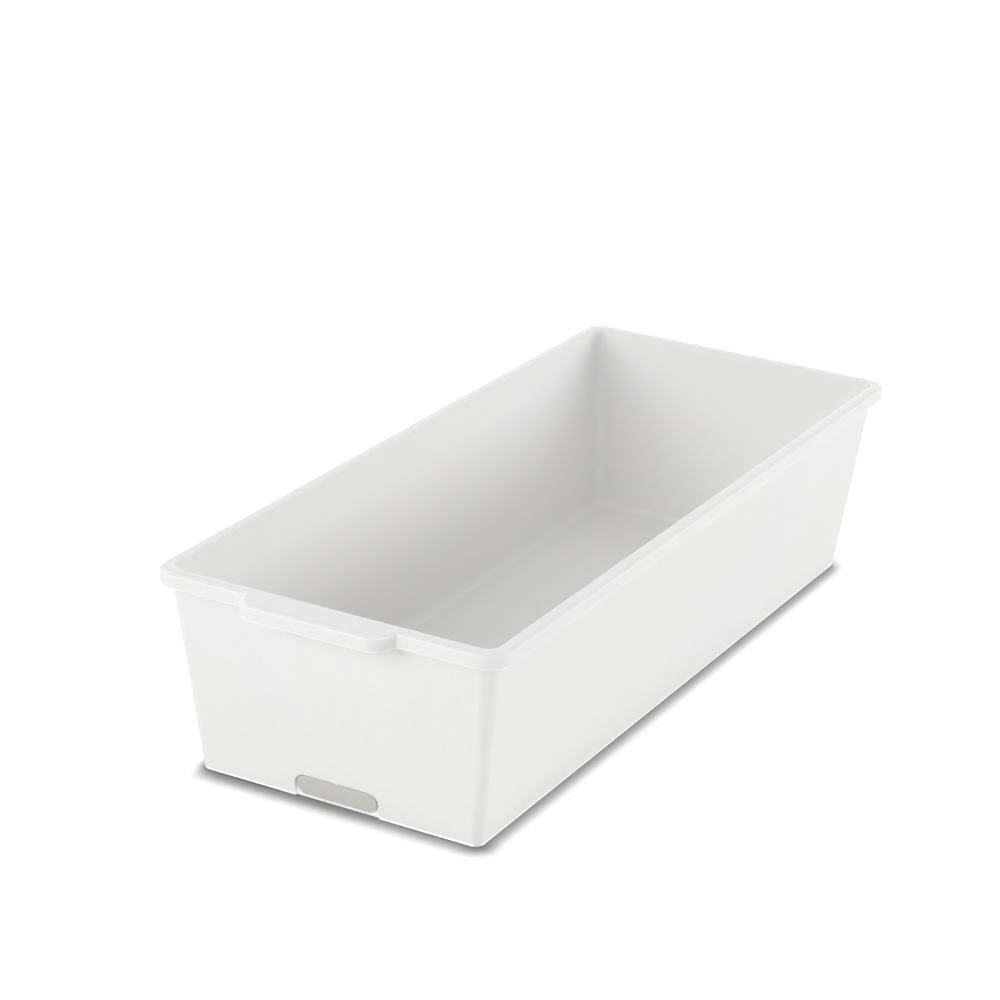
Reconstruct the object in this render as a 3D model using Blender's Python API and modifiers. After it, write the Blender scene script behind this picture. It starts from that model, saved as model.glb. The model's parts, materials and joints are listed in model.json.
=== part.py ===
"""Tapered storage bin with a down-turned rim, a grip lip, a badge insert and four non-slip pads.

Units are metres. The origin is the middle of the overall box, on the surface that the pads stand on.
+Z is up, the long sides run along Y, and the front, which carries the badge, faces -Y.
"""
from math import acos, atan2, cos, pi, sin

import bmesh
import bpy
from mathutils import Matrix, Vector

DEGREE = pi / 180

# Overall sizes, measured on the outside of the rim's band and without the grip lip
RIM_WIDTH = 0.165
RIM_LENGTH = 0.394
HEIGHT = 0.095
RIM_CORNER = 0.0112

# Rim: a flat top, crowned towards its outer side, where it meets a flat band in an edge; open underneath
RIM_TOP_WIDTH = 0.0058
RIM_TOP_THICKNESS = 0.0018
RIM_CROWN_RADIUS = 0.0026
RIM_CROWN_DROP = 0.0013
RIM_INNER_ROUND = 0.0008
RIM_UNDER_FILLET = 0.0006
BAND_HEIGHT = 0.0070
BAND_THICKNESS = 0.0014
BAND_FOOT_ROUND = 0.0004

# Grip lip: the band steps out in the middle of the front, between flanks that slant together
LIP_LENGTH = 0.0737
LIP_REACH = 0.0102
LIP_SLANT = 24 * DEGREE
LIP_END_ROUND = 0.0080
LIP_ROOT_ROUND = 0.0008

# Walls and floor; a lean is how far a wall comes in on its way down from the rim to the foot
WALL = 0.0015
SIDE_LEAN = 0.0104
END_LEAN = 0.0120
FOOT_CORNER = 0.0042
FOOT_ROUND = 0.0006
INNER_FOOT_CORNER = 0.0055
FLOOR = 0.0022
FLOOR_FILLET = 0.0040

# Underside: a sunken panel with the moulding gate's mark in its middle
PANEL_MARGIN = 0.0250
PANEL_DEPTH = 0.0005
PANEL_CORNER = 0.0080
GATE_DISH_RADIUS = 0.0040
GATE_DISH_DEPTH = 0.0005
GATE_NUB_RADIUS = 0.0009
GATE_NUB_HEIGHT = 0.0003

# Non-slip pads, seated in round pockets under the four corners of the floor
PAD_RADIUS = 0.0070
PAD_EDGE_ROUND = 0.0005
PAD_STAND = 0.0008
PAD_FROM_SIDE = 0.0135
PAD_FROM_END = 0.0145
PAD_POCKET_DEPTH = 0.0010

# Badge insert and its recess at the foot of the front wall
BADGE_LENGTH = 0.0390
BADGE_HEIGHT = 0.0092
BADGE_THICKNESS = 0.0007
BADGE_EDGE_ROUND = 0.00025
BADGE_RISE = 0.0070
RECESS_DEPTH = 0.0012
RECESS_SIDE_MARGIN = 0.0008
RECESS_TOP_MARGIN = 0.0004

# Gap between solids that touch, overrun of every cut, least radius of a plan corner, and welds
CLEARANCE = 0.0003
OVERRUN = 0.0020
SHARPEST_CORNER = 0.0002
WELD_DISTANCE = 0.00001

# Facets along each kind of round
CORNER_STEPS = 10
LIP_END_STEPS = 9
LIP_ROOT_STEPS = 4
EDGE_STEPS = 5
SMALL_EDGE_STEPS = 3
TURN_STEPS = 32
OUTLINE_STEPS = 12

# Sizes that follow
OVERHANG = RIM_TOP_WIDTH - WALL
BAND_FOOT = HEIGHT - BAND_HEIGHT
RIM_UNDERSIDE = HEIGHT - RIM_TOP_THICKNESS
FLOOR_TOP = PAD_STAND + FLOOR
WALL_HEIGHT = HEIGHT - PAD_STAND
BASE_HALF_WIDTH = RIM_WIDTH / 2 - OVERHANG - SIDE_LEAN
BASE_HALF_LENGTH = RIM_LENGTH / 2 - OVERHANG - END_LEAN
END_SLOPE = atan2(END_LEAN, WALL_HEIGHT)
QUARTER_TURN = pi / 2
CROWN_ANGLE = acos(max(0, 1 - RIM_CROWN_DROP / RIM_CROWN_RADIUS))
CREASE_ANGLE = 30 * DEGREE
BEVELLED_ANGLE = 45 * DEGREE

COLLECTION = "storage_bin"
CUTTERS = "storage_bin_cutters"


def clear_scene():
    for item in list(bpy.data.objects):
        bpy.data.objects.remove(item, do_unlink=True)


def make_collection(name):
    collection = bpy.data.collections.new(name)
    bpy.context.scene.collection.children.link(collection)
    return collection


def make_material(name, colour, roughness):
    material = bpy.data.materials.new(name)
    material.use_nodes = True
    shader = material.node_tree.nodes["Principled BSDF"]
    shader.inputs["Base Color"].default_value = (*colour, 1)
    shader.inputs["Roughness"].default_value = roughness
    shader.inputs["Metallic"].default_value = 0
    material.diffuse_color = (*colour, 1)
    return material


def make_object(name, mesh, collection):
    item = bpy.data.objects.new(name, mesh)
    collection.objects.link(item)
    return item


def shade_round(item):
    item.data.shade_smooth()
    item.data.set_sharp_from_angle(angle=CREASE_ANGLE)


def arc(centre, radius, start, end, steps):
    """Points of an arc from one angle to another, both ends included."""
    angles = [start + (end - start) * i / steps for i in range(steps + 1)]
    return [(centre[0] + radius * cos(a), centre[1] + radius * sin(a)) for a in angles]


def closed_outline(back, front):
    """Closes an outline, like on the left and the right, from the quarters of its back and its front.

    Each quarter is written as it lies at the back, and runs from +X round to +Y.
    """
    back_half = back + [(-x, y) for x, y in reversed(back)]
    front_half = [(-x, -y) for x, y in front] + [(x, -y) for x, y in reversed(front)]
    return back_half + front_half


def rounded_rectangle(half_width, half_length, corner):
    radius = max(corner, SHARPEST_CORNER)
    corner = arc((half_width - radius, half_length - radius), radius, 0, QUARTER_TURN, CORNER_STEPS)
    return closed_outline(corner, corner)


def band_outline(offset):
    """Outline of the rim's band and its grip lip, moved out by an offset, or in by a negative one.

    Each end of the lip is an S: a tight arc that leaves the band, a slanted flank and a large arc that
    runs into the lip's front. Moving the outline keeps the arcs' centres and changes only their radii.
    """
    half_width = RIM_WIDTH / 2
    half_length = RIM_LENGTH / 2
    corner = arc((half_width - RIM_CORNER, half_length - RIM_CORNER), RIM_CORNER + offset,
                 0, QUARTER_TURN, CORNER_STEPS)
    both_rounds = LIP_ROOT_ROUND + LIP_END_ROUND
    sweep = min(QUARTER_TURN - LIP_SLANT, acos(max(-1, 1 - LIP_REACH / both_rounds)))
    flank = (LIP_REACH - both_rounds * (1 - cos(sweep))) / sin(sweep)
    root_centre = (LIP_LENGTH / 2, half_length + LIP_ROOT_ROUND)
    end_centre = (LIP_LENGTH / 2 - both_rounds * sin(sweep) - flank * cos(sweep),
                  half_length + LIP_REACH - LIP_END_ROUND)
    root = arc(root_centre, LIP_ROOT_ROUND - offset, -QUARTER_TURN, -QUARTER_TURN - sweep, LIP_ROOT_STEPS)
    end = arc(end_centre, LIP_END_ROUND + offset, QUARTER_TURN - sweep, QUARTER_TURN, LIP_END_STEPS)
    if flank < WELD_DISTANCE:
        end = end[1:]
    return closed_outline(corner, corner + root + end)


def wall_outline(height, offset, inner=False):
    """Outline of the walls' outer or inner face at a height, moved out by an offset."""
    drop = (HEIGHT - height) / WALL_HEIGHT
    half_width = RIM_WIDTH / 2 - OVERHANG - SIDE_LEAN * drop
    half_length = RIM_LENGTH / 2 - OVERHANG - END_LEAN * drop
    top_corner = RIM_CORNER - OVERHANG
    foot_corner = FOOT_CORNER
    if inner:
        half_width -= WALL
        half_length -= WALL
        top_corner -= WALL
        foot_corner = INNER_FOOT_CORNER
    corner = top_corner + (foot_corner - top_corner) * drop
    return rounded_rectangle(half_width + offset, half_length + offset, corner + offset)


def at_height(outline, height):
    return [Vector((x, y, height)) for x, y in outline]


def outer_wall_rings():
    """The walls' outer face, from the rounded foot up to the fillet under the rim."""
    rings = []
    for across, up in arc((-FOOT_ROUND, FOOT_ROUND), FOOT_ROUND, -QUARTER_TURN, 0, SMALL_EDGE_STEPS):
        height = PAD_STAND + up
        rings.append(at_height(wall_outline(height, across), height))
    fillet = (RIM_UNDER_FILLET, -RIM_UNDER_FILLET)
    for across, up in arc(fillet, RIM_UNDER_FILLET, 2 * QUARTER_TURN, QUARTER_TURN, SMALL_EDGE_STEPS):
        height = RIM_UNDERSIDE + up
        rings.append(at_height(wall_outline(height, across), height))
    return rings


def band_rings():
    """The band: up under the rim, down its inner face, round its foot, up its outer face, over the crown."""
    inner_face = -BAND_THICKNESS
    path = arc((inner_face - RIM_UNDER_FILLET, RIM_UNDERSIDE - RIM_UNDER_FILLET), RIM_UNDER_FILLET,
               QUARTER_TURN, 0, SMALL_EDGE_STEPS)
    path += arc((inner_face + BAND_FOOT_ROUND, BAND_FOOT + BAND_FOOT_ROUND), BAND_FOOT_ROUND,
                -2 * QUARTER_TURN, -QUARTER_TURN, SMALL_EDGE_STEPS)
    path += arc((-BAND_FOOT_ROUND, BAND_FOOT + BAND_FOOT_ROUND), BAND_FOOT_ROUND,
                -QUARTER_TURN, 0, SMALL_EDGE_STEPS)
    path += arc((-RIM_CROWN_RADIUS * sin(CROWN_ANGLE), HEIGHT - RIM_CROWN_RADIUS), RIM_CROWN_RADIUS,
                QUARTER_TURN - CROWN_ANGLE, QUARTER_TURN, EDGE_STEPS)
    return [at_height(band_outline(across), height) for across, height in path]


def inner_wall_rings():
    """The walls' inner face, from the rim's rounded inner edge down to the fillet round the floor."""
    rings = []
    edge = (RIM_INNER_ROUND, -RIM_INNER_ROUND)
    for across, up in arc(edge, RIM_INNER_ROUND, QUARTER_TURN, 2 * QUARTER_TURN, SMALL_EDGE_STEPS):
        height = HEIGHT + up
        rings.append(at_height(wall_outline(height, across, inner=True), height))
    fillet = (-FLOOR_FILLET, FLOOR_FILLET)
    for across, up in arc(fillet, FLOOR_FILLET, 0, -QUARTER_TURN, EDGE_STEPS):
        height = FLOOR_TOP + up
        rings.append(at_height(wall_outline(height, across, inner=True), height))
    return rings


def add_skin(shell, rings):
    """Lofts rings of equal counts, and returns the first and the last as loops of vertices."""
    loops = [[shell.verts.new(point) for point in ring] for ring in rings]
    for lower, upper in zip(loops, loops[1:]):
        for i in range(len(lower)):
            j = (i + 1) % len(lower)
            shell.faces.new((lower[i], lower[j], upper[j], upper[i]))
    return loops[0], loops[-1]


def fill_between(shell, *loops):
    """Fills the flat area between two loops at one height, whose counts may differ."""
    edges = []
    for loop in loops:
        edges += [shell.edges.get((loop[i - 1], loop[i])) for i in range(len(loop))]
    bmesh.ops.triangle_fill(shell, use_beauty=True, edges=edges, normal=Vector((0, 0, 1)))


def shell_mesh(name):
    """The moulding as one closed body: three lofted skins, joined by the rim's flats and two floors."""
    shell = bmesh.new()
    foot, under_rim = add_skin(shell, outer_wall_rings())
    band_top_inside, band_top_outside = add_skin(shell, band_rings())
    rim_edge, floor_edge = add_skin(shell, inner_wall_rings())
    fill_between(shell, under_rim, band_top_inside)
    fill_between(shell, band_top_outside, rim_edge)
    shell.faces.new(foot)
    shell.faces.new(floor_edge)
    bmesh.ops.recalc_face_normals(shell, faces=shell.faces)
    mesh = bpy.data.meshes.new(name)
    shell.to_mesh(mesh)
    shell.free()
    return mesh


def flat_solid(name, outline, thickness, place, collection):
    """A plate with a flat outline, centred on its thickness, as a mesh set in its place."""
    curve = bpy.data.curves.new(name, "CURVE")
    curve.dimensions = "2D"
    curve.fill_mode = "BOTH"
    curve.extrude = thickness / 2
    spline = curve.splines.new("POLY")
    spline.points.add(len(outline) - 1)
    for point, (x, y) in zip(spline.points, outline):
        point.co = (x, y, 0, 1)
    spline.use_cyclic_u = True
    sketch = make_object(name + "_outline", curve, collection)
    depsgraph = bpy.context.evaluated_depsgraph_get()
    mesh = bpy.data.meshes.new_from_object(sketch.evaluated_get(depsgraph))
    mesh.name = name
    bpy.data.objects.remove(sketch)
    bpy.data.curves.remove(curve)
    plate = bmesh.new()
    plate.from_mesh(mesh)
    bmesh.ops.remove_doubles(plate, verts=plate.verts, dist=WELD_DISTANCE)
    bmesh.ops.recalc_face_normals(plate, faces=plate.faces)
    plate.to_mesh(mesh)
    plate.free()
    item = make_object(name, mesh, collection)
    item.matrix_world = place
    return item


def turned_solid(name, profile, collection):
    """A turned piece: its profile starts and ends on the axis and runs down the outer side."""
    mesh = bpy.data.meshes.new(name)
    edges = [(i, i + 1) for i in range(len(profile) - 1)]
    mesh.from_pydata([(radius, 0, height) for radius, height in profile], edges, [])
    item = make_object(name, mesh, collection)
    turn = item.modifiers.new("turn", "SCREW")
    turn.axis = "Z"
    turn.angle = 2 * pi
    turn.steps = TURN_STEPS
    turn.render_steps = TURN_STEPS
    turn.use_merge_vertices = True
    turn.merge_threshold = WELD_DISTANCE
    turn.use_smooth_shade = True
    return item


def hide_cutter(item):
    item.hide_render = True
    item.display_type = "WIRE"


def cut(item, cutter):
    step = item.modifiers.new("cut_" + cutter.name, "BOOLEAN")
    step.operation = "DIFFERENCE"
    step.solver = "EXACT"
    step.object = cutter
    hide_cutter(cutter)


def front_wall_place(height, out):
    """Frame on the front wall at a height: X across, Y up the slope, Z out of the wall."""
    drop = (HEIGHT - height) / WALL_HEIGHT
    face = -(RIM_LENGTH / 2 - OVERHANG - END_LEAN * drop)
    across = Vector((1, 0, 0))
    up = Vector((0, -sin(END_SLOPE), cos(END_SLOPE)))
    normal = across.cross(up)
    origin = Vector((0, face, height)) + normal * out
    return Matrix.Translation(origin) @ Matrix((across, up, normal)).transposed().to_4x4()


def badge_outline():
    """A bar with full round ends."""
    radius = BADGE_HEIGHT / 2
    reach = BADGE_LENGTH / 2 - radius
    right = arc((reach, 0), radius, -QUARTER_TURN, QUARTER_TURN, OUTLINE_STEPS)
    left = arc((-reach, 0), radius, QUARTER_TURN, 3 * QUARTER_TURN, OUTLINE_STEPS)
    return right + left


def recess_outline():
    """Round shoulders concentric with the badge's ends, and straight sides that run out below the foot."""
    radius = BADGE_HEIGHT / 2 + RECESS_TOP_MARGIN
    reach = BADGE_LENGTH / 2 + RECESS_SIDE_MARGIN - radius
    bottom = -BADGE_RISE - OVERRUN
    right = arc((reach, 0), radius, 0, QUARTER_TURN, OUTLINE_STEPS)
    left = arc((-reach, 0), radius, QUARTER_TURN, 2 * QUARTER_TURN, OUTLINE_STEPS)
    return [(reach + radius, bottom)] + right + left + [(-reach - radius, bottom)]


def make_recess_cutter(cutters):
    thickness = RECESS_DEPTH + OVERRUN
    place = front_wall_place(BADGE_RISE, OVERRUN - thickness / 2)
    return flat_solid("recess_cutter", recess_outline(), thickness, place, cutters)


def make_panel_cutter(cutters):
    """The underside's sunken panel, clear of the pads by its margin from the base's edge."""
    outline = rounded_rectangle(BASE_HALF_WIDTH - PANEL_MARGIN, BASE_HALF_LENGTH - PANEL_MARGIN, PANEL_CORNER)
    thickness = PANEL_DEPTH + OVERRUN
    place = Matrix.Translation((0, 0, PAD_STAND + PANEL_DEPTH - thickness / 2))
    return flat_solid("panel_cutter", outline, thickness, place, cutters)


def make_gate_cutter(cutters):
    """A round dish in the panel that leaves the gate's nub standing in its middle."""
    panel = PAD_STAND + PANEL_DEPTH
    roof = panel + GATE_DISH_DEPTH
    profile = [(0, roof - GATE_NUB_HEIGHT), (GATE_NUB_RADIUS, roof - GATE_NUB_HEIGHT),
               (GATE_NUB_RADIUS, roof), (GATE_DISH_RADIUS, roof),
               (GATE_DISH_RADIUS, panel - PANEL_DEPTH), (0, panel - PANEL_DEPTH)]
    return turned_solid("gate_cutter", profile, cutters)


def pad_places():
    """Name endings and centres of the four pads."""
    across = BASE_HALF_WIDTH - PAD_FROM_SIDE
    along = BASE_HALF_LENGTH - PAD_FROM_END
    return [(f"{end}_{side}", Vector((x * across, y * along, 0)))
            for end, y in (("front", -1), ("back", 1)) for side, x in (("left", -1), ("right", 1))]


def make_pocket_cutter(ending, centre, cutters):
    depth = PAD_POCKET_DEPTH + OVERRUN
    bpy.ops.mesh.primitive_cylinder_add(vertices=TURN_STEPS, radius=PAD_RADIUS + CLEARANCE, depth=depth)
    cutter = bpy.context.object
    cutter.name = "pocket_cutter_" + ending
    for collection in list(cutter.users_collection):
        collection.objects.unlink(cutter)
    cutters.objects.link(cutter)
    cutter.location = centre + Vector((0, 0, PAD_STAND + PAD_POCKET_DEPTH - depth / 2))
    return cutter


def make_shell(collection, cutters, material):
    shell = make_object("bin_shell", shell_mesh("bin_shell"), collection)
    shell.data.materials.append(material)
    cut(shell, make_recess_cutter(cutters))
    cut(shell, make_panel_cutter(cutters))
    cut(shell, make_gate_cutter(cutters))
    for ending, centre in pad_places():
        cut(shell, make_pocket_cutter(ending, centre, cutters))
    shade_round(shell)
    return shell


def make_badge(collection, material):
    """The soft insert, its back held off the recess by the clearance and its edges rounded."""
    back = -RECESS_DEPTH + CLEARANCE
    place = front_wall_place(BADGE_RISE, back + BADGE_THICKNESS / 2)
    badge = flat_solid("badge_insert", badge_outline(), BADGE_THICKNESS, place, collection)
    badge.data.materials.append(material)
    edge = badge.modifiers.new("edge_round", "BEVEL")
    edge.width = BADGE_EDGE_ROUND
    edge.segments = SMALL_EDGE_STEPS
    edge.limit_method = "ANGLE"
    edge.angle_limit = BEVELLED_ANGLE
    shade_round(badge)
    return badge


def make_pads(collection, material):
    """Flat round pads whose lower edge is rounded and whose top stops short of the pocket's roof."""
    top = PAD_STAND + PAD_POCKET_DEPTH - CLEARANCE
    edge = arc((PAD_RADIUS - PAD_EDGE_ROUND, PAD_EDGE_ROUND), PAD_EDGE_ROUND, 0, -QUARTER_TURN, SMALL_EDGE_STEPS)
    profile = [(0, top), (PAD_RADIUS, top)] + edge + [(0, 0)]
    for ending, centre in pad_places():
        pad = turned_solid("foot_pad_" + ending, profile, collection)
        pad.location = centre
        pad.data.materials.append(material)


def centre_on_origin(*collections):
    """Moves everything from the rim's middle to the middle of the overall box, which holds the lip."""
    for collection in collections:
        for item in collection.objects:
            item.location.y += LIP_REACH / 2


def main():
    clear_scene()
    collection = make_collection(COLLECTION)
    cutters = make_collection(CUTTERS)
    white = make_material("white_polypropylene", (0.86, 0.86, 0.86), 0.42)
    badge_grey = make_material("soft_grey_insert", (0.55, 0.54, 0.51), 0.60)
    pad_grey = make_material("soft_grey_pad", (0.50, 0.50, 0.49), 0.75)
    make_shell(collection, cutters, white)
    make_badge(collection, badge_grey)
    make_pads(collection, pad_grey)
    centre_on_origin(collection, cutters)
    bpy.context.view_layer.update()


main()
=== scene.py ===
"""Studio picture of a tapered storage bin: its finer moulding, its soft badge and its pads.

Units are metres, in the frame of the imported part: +Z is up, and the front, with the badge, faces -Y.
"""
import json
from math import acos, atan2, cos, pi, sin, sqrt

import bmesh
import bpy
from mathutils import Matrix, Vector

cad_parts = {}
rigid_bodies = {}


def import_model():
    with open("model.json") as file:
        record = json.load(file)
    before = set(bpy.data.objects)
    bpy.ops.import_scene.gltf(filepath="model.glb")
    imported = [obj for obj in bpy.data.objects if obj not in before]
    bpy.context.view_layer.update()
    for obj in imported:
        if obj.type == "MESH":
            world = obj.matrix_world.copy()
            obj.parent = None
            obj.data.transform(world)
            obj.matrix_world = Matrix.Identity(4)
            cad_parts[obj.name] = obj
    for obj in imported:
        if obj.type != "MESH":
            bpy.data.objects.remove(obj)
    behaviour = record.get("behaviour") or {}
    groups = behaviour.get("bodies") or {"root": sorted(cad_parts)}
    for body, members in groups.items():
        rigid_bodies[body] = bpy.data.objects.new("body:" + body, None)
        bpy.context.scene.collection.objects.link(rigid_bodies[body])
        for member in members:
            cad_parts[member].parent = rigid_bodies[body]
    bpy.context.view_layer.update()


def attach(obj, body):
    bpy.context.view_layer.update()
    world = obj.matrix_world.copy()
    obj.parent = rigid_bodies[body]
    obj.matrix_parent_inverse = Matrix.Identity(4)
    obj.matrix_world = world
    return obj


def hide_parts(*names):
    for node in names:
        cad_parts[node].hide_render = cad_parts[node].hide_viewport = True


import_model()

DEGREE = pi / 180
QUARTER = pi / 2

# Sizes of the moulding, as in the part
RIM_WIDTH = 0.165
RIM_LENGTH = 0.394
HEIGHT = 0.095
RIM_CORNER = 0.0112
RIM_TOP_WIDTH = 0.0058
RIM_TOP_THICKNESS = 0.0018
RIM_CROWN_RADIUS = 0.0026
RIM_CROWN_DROP = 0.0013
PARTING_EDGE_ROUND = 0.00025
RIM_INNER_ROUND = 0.0008
SATIN_FROM = 3 * RIM_INNER_ROUND
RIM_UNDER_FILLET = 0.0006
BAND_HEIGHT = 0.0070
BAND_THICKNESS = 0.0014
BAND_FOOT_ROUND = 0.0004
LIP_LENGTH = 0.0737
LIP_REACH = 0.0102
LIP_SLANT = 24 * DEGREE
LIP_END_ROUND = 0.0080
LIP_ROOT_ROUND = 0.0008
WALL = 0.0015
SIDE_LEAN = 0.0104
END_LEAN = 0.0120
FOOT_CORNER = 0.0042
FOOT_ROUND = 0.0003
INNER_FOOT_CORNER = 0.0055
FLOOR = 0.0022
FLOOR_FILLET = 0.0040
OVERHANG = RIM_TOP_WIDTH - WALL
BAND_FOOT = HEIGHT - BAND_HEIGHT
RIM_UNDERSIDE = HEIGHT - RIM_TOP_THICKNESS

# Underside: sunken panel, gate mark and the pads in their pockets
PANEL_MARGIN = 0.0250
PANEL_DEPTH = 0.0005
PANEL_CORNER = 0.0080
PANEL_EDGE_ROUND = 0.0003
GATE_DISH_RADIUS = 0.0040
GATE_DISH_DEPTH = 0.0005
GATE_NUB_RADIUS = 0.0009
GATE_NUB_HEIGHT = 0.0003
PAD_RADIUS = 0.0070
PAD_EDGE_ROUND = 0.0005
PAD_STAND = 0.0008
PAD_FROM_SIDE = 0.0135
PAD_FROM_END = 0.0145
PAD_POCKET_DEPTH = 0.0010
POCKET_EDGE_ROUND = 0.0002
FOOT_TOP = PAD_STAND + FOOT_ROUND
FLOOR_TOP = PAD_STAND + FLOOR
WALL_HEIGHT = HEIGHT - PAD_STAND
BASE_HALF_WIDTH = RIM_WIDTH / 2 - OVERHANG - SIDE_LEAN
BASE_HALF_LENGTH = RIM_LENGTH / 2 - OVERHANG - END_LEAN
END_SLOPE = atan2(END_LEAN, WALL_HEIGHT)

# Badge and its recess
BADGE_LENGTH = 0.0390
BADGE_HEIGHT = 0.0092
BADGE_THICKNESS = 0.0007
BADGE_EDGE_ROUND = 0.00025
BADGE_CROWN = 0.00006
BADGE_RISE = 0.0070
RECESS_DEPTH = 0.0012
RECESS_SIDE_MARGIN = 0.0008
RECESS_TOP_MARGIN = 0.0004
RECESS_MOUTH_ROUND = 0.00015
RECESS_FLOOR_FILLET = 0.00020
NIB_WIDTH = 0.0018
NIB_REACH = 0.0003

# Working values: gap, overrun, tolerances and what the normals go by
CLEARANCE = 0.0003
OVERRUN = 0.0020
WELD_DISTANCE = 0.000001
LEVEL_TOLERANCE = 0.000005
CREASE_ANGLE = 38 * DEGREE
FLAT_WEIGHT = 50
INDEX_MIDDLE = 0.5
NODE_SPACING = 180

# Facets along each kind of round
CORNER_STEPS = 24
LIP_END_STEPS = 20
LIP_ROOT_STEPS = 10
EDGE_STEPS = 12
SMALL_EDGE_STEPS = 6
TURN_STEPS = 96
OUTLINE_STEPS = 32

# How smooth each surface of the moulding is: 0 keeps the mould's fine texture, 1 is polished
TEXTURED = 0.0
SATIN = 0.45
POLISHED = 1.0

# Above 1 an edge is polished with painted highlight and glow: how much, how far up from the foot's round,
# and how it fades
PAINTED_GLOW_EDGE = 2.0
FAINT_PAINTED_GLOW_EDGE = 1.5
PAINTED_GLOW_STRENGTH = 0.32
PAINTED_GLOW_REACH = 0.0006
PAINTED_GLOW_FADE = 0.0003

# Camera
AIM = Vector((-0.025226, 0.003130, 0.073707))
DISTANCE = 1.402872
AZIMUTH = 28.4579 * DEGREE
ELEVATION = 21.4343 * DEGREE
ROLL = 2.0663 * DEGREE
LENS = 110.4240
SENSOR = 36.0

# Soft boxes: name, place, width, height, power in watts, all turned to one point
SOFT_BOXES = [
    ("back_low", (-1.23, 2.26, 0.41), 2.6, 0.5, 9.0),
    ("right_back_side", (2.45, 1.14, 0.77), 1.4, 0.8, 24.3),
    ("key_left_front", (-0.76, -2.09, 0.95), 1.7, 1.0, 18.1),
    ("left_high", (-2.14, 0.19, 1.85), 1.4, 0.8, 7.5),
    ("overhead", (0.00, 0.10, 2.20), 1.0, 1.0, 2.6),
    ("corner_glint", (-0.23, 0.87, 1.20), 0.35, 0.35, 0.9),
]
BOX_AIM = Vector((0.0, 0.0, 0.05))

# Sky's level at the horizon and overhead
AMBIENT_LOW = 0.66
AMBIENT_TOP = 0.43

# Colours, each with its alpha where a socket takes it as it is
PLAIN_WHITE = (1.0, 1.0, 1.0, 1.0)
WALL_COOL = (0.889, 0.884, 0.884, 1.0)
WALL_WARM = (0.889, 0.888, 0.876, 1.0)
# Painted highlight: the whiter colour that the glowing edges take
PAINTED_HIGHLIGHT_WHITE = (0.99, 0.99, 0.985, 1.0)
OPEN_PAPER = (0.90, 0.90, 0.90, 1.0)
SHADED_PAPER = (0.34, 0.34, 0.34, 1.0)
BADGE_COLOUR = (0.625, 0.618, 0.585)
PAD_COLOUR = (0.50, 0.50, 0.49)

# Finish of the white walls
WALL_GRAIN = 0.00060
WALL_COARSE_SHARE = 0.20
WALL_GRAIN_DEPTH = 0.00008
WALL_ROUGHNESS = 0.50
WALL_ROUGHNESS_SPREAD = 0.05
POLISHED_ROUGHNESS = 0.24
POLISHED_GRAIN_LOSS = 0.9
MIDDLE_GRAIN = 0.45
GRAIN_SHADE = 0.11
GLOSS_PATCH = 0.035
TINT_PATCH = 0.110
PLASTIC_IOR = 1.49

# Patterns that the finishes share
GRAIN_DETAIL = 2.0
GRAIN_DETAIL_ROUGHNESS = 0.6
COARSE_FINENESS = 0.45
COARSE_SMOOTHNESS = 0.7
FLOW_STRETCH = (1.0, 0.45, 1.6)
FLOW_DETAIL = 3.0
FLOW_DETAIL_ROUGHNESS = 0.45
FLOW_FROM, FLOW_TO = 0.3, 0.7

# Finish of the soft pieces
BADGE_ROUGHNESS = 0.58
BADGE_GRAIN = 0.00025
BADGE_GRAIN_DEPTH = 0.00003
PAD_ROUGHNESS = 0.70
PAD_GRAIN = 0.00035
PAD_GRAIN_DEPTH = 0.00005
RUBBER_PATCH = 0.006
RUBBER_COARSE_SHARE = 0.5
RUBBER_ROUGHNESS_SPREAD = 0.06
RUBBER_DARK_PATCH = 0.96
# Painted shade on the badge's sides: how dark
RUBBER_PAINTED_SIDE_SHADE = 0.45
RUBBER_IOR = 1.5
BUMP_STRENGTH = 0.5

# Paper round the bin: where its painted shadow changes, across and along the bin
SIDE_FROM, SIDE_TO = 0.062, 0.078
FRONT_FROM, FRONT_TO = -0.060, 0.030
LEFT_END_FROM, LEFT_END_TO = -0.066, -0.074
CORNER_ACROSS_FROM, CORNER_ACROSS_TO = 0.055, 0.070
CORNER_ALONG_FROM, CORNER_ALONG_TO = -0.162, -0.177
DEPTH_FROM, DEPTH_TO = -0.039, 0.067

# Openness of the paper at which its painted shadow is full, and at which it is clear of it
FRONT_SHUT, FRONT_CLEAR = 0.44, 0.96
SIDE_SHUT, SIDE_CLEAR = 0.49, 0.79
LEFT_END_SHUT, LEFT_END_CLEAR = 0.36, 0.80
CORNER_SHUT, CORNER_CLEAR = 0.68, 0.95
LEFT_SHIFT, RIGHT_SHIFT = 0.08, 0.01
SHADOW_REACH = 0.012
SHADOW_SAMPLES = 12

# Lift of the paper's level by a painted glow: in the shadow's left and right parts, and in the open
LEFT_LIFT, RIGHT_LIFT = 0.0, 0.095
CORNER_LIFT = 0.0
OPEN_LIFT = 0.755
PAPER_REACH = 6.0
CAMERA_FAR = 20


def clear_default_objects():
    """Takes away whatever the new file started with, and leaves the part."""
    for item in list(bpy.data.objects):
        if item.name in ("Cube", "Camera", "Light"):
            bpy.data.objects.remove(item, do_unlink=True)


def arc(centre, radius, start, end, steps):
    """Points of an arc from one angle to another, both ends included."""
    angles = [start + (end - start) * i / steps for i in range(steps + 1)]
    return [(centre[0] + radius * cos(a), centre[1] + radius * sin(a)) for a in angles]


def facing_arc(centre, radius, start, end, steps, sign=1):
    """An arc as pairs of a point and its outward direction, which a sign of -1 turns to the centre."""
    angles = [start + (end - start) * i / steps for i in range(steps + 1)]
    pairs = []
    for a in angles:
        ray = Vector((cos(a), sin(a)))
        pairs.append((Vector(centre) + ray * radius, ray * sign))
    return pairs


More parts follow.
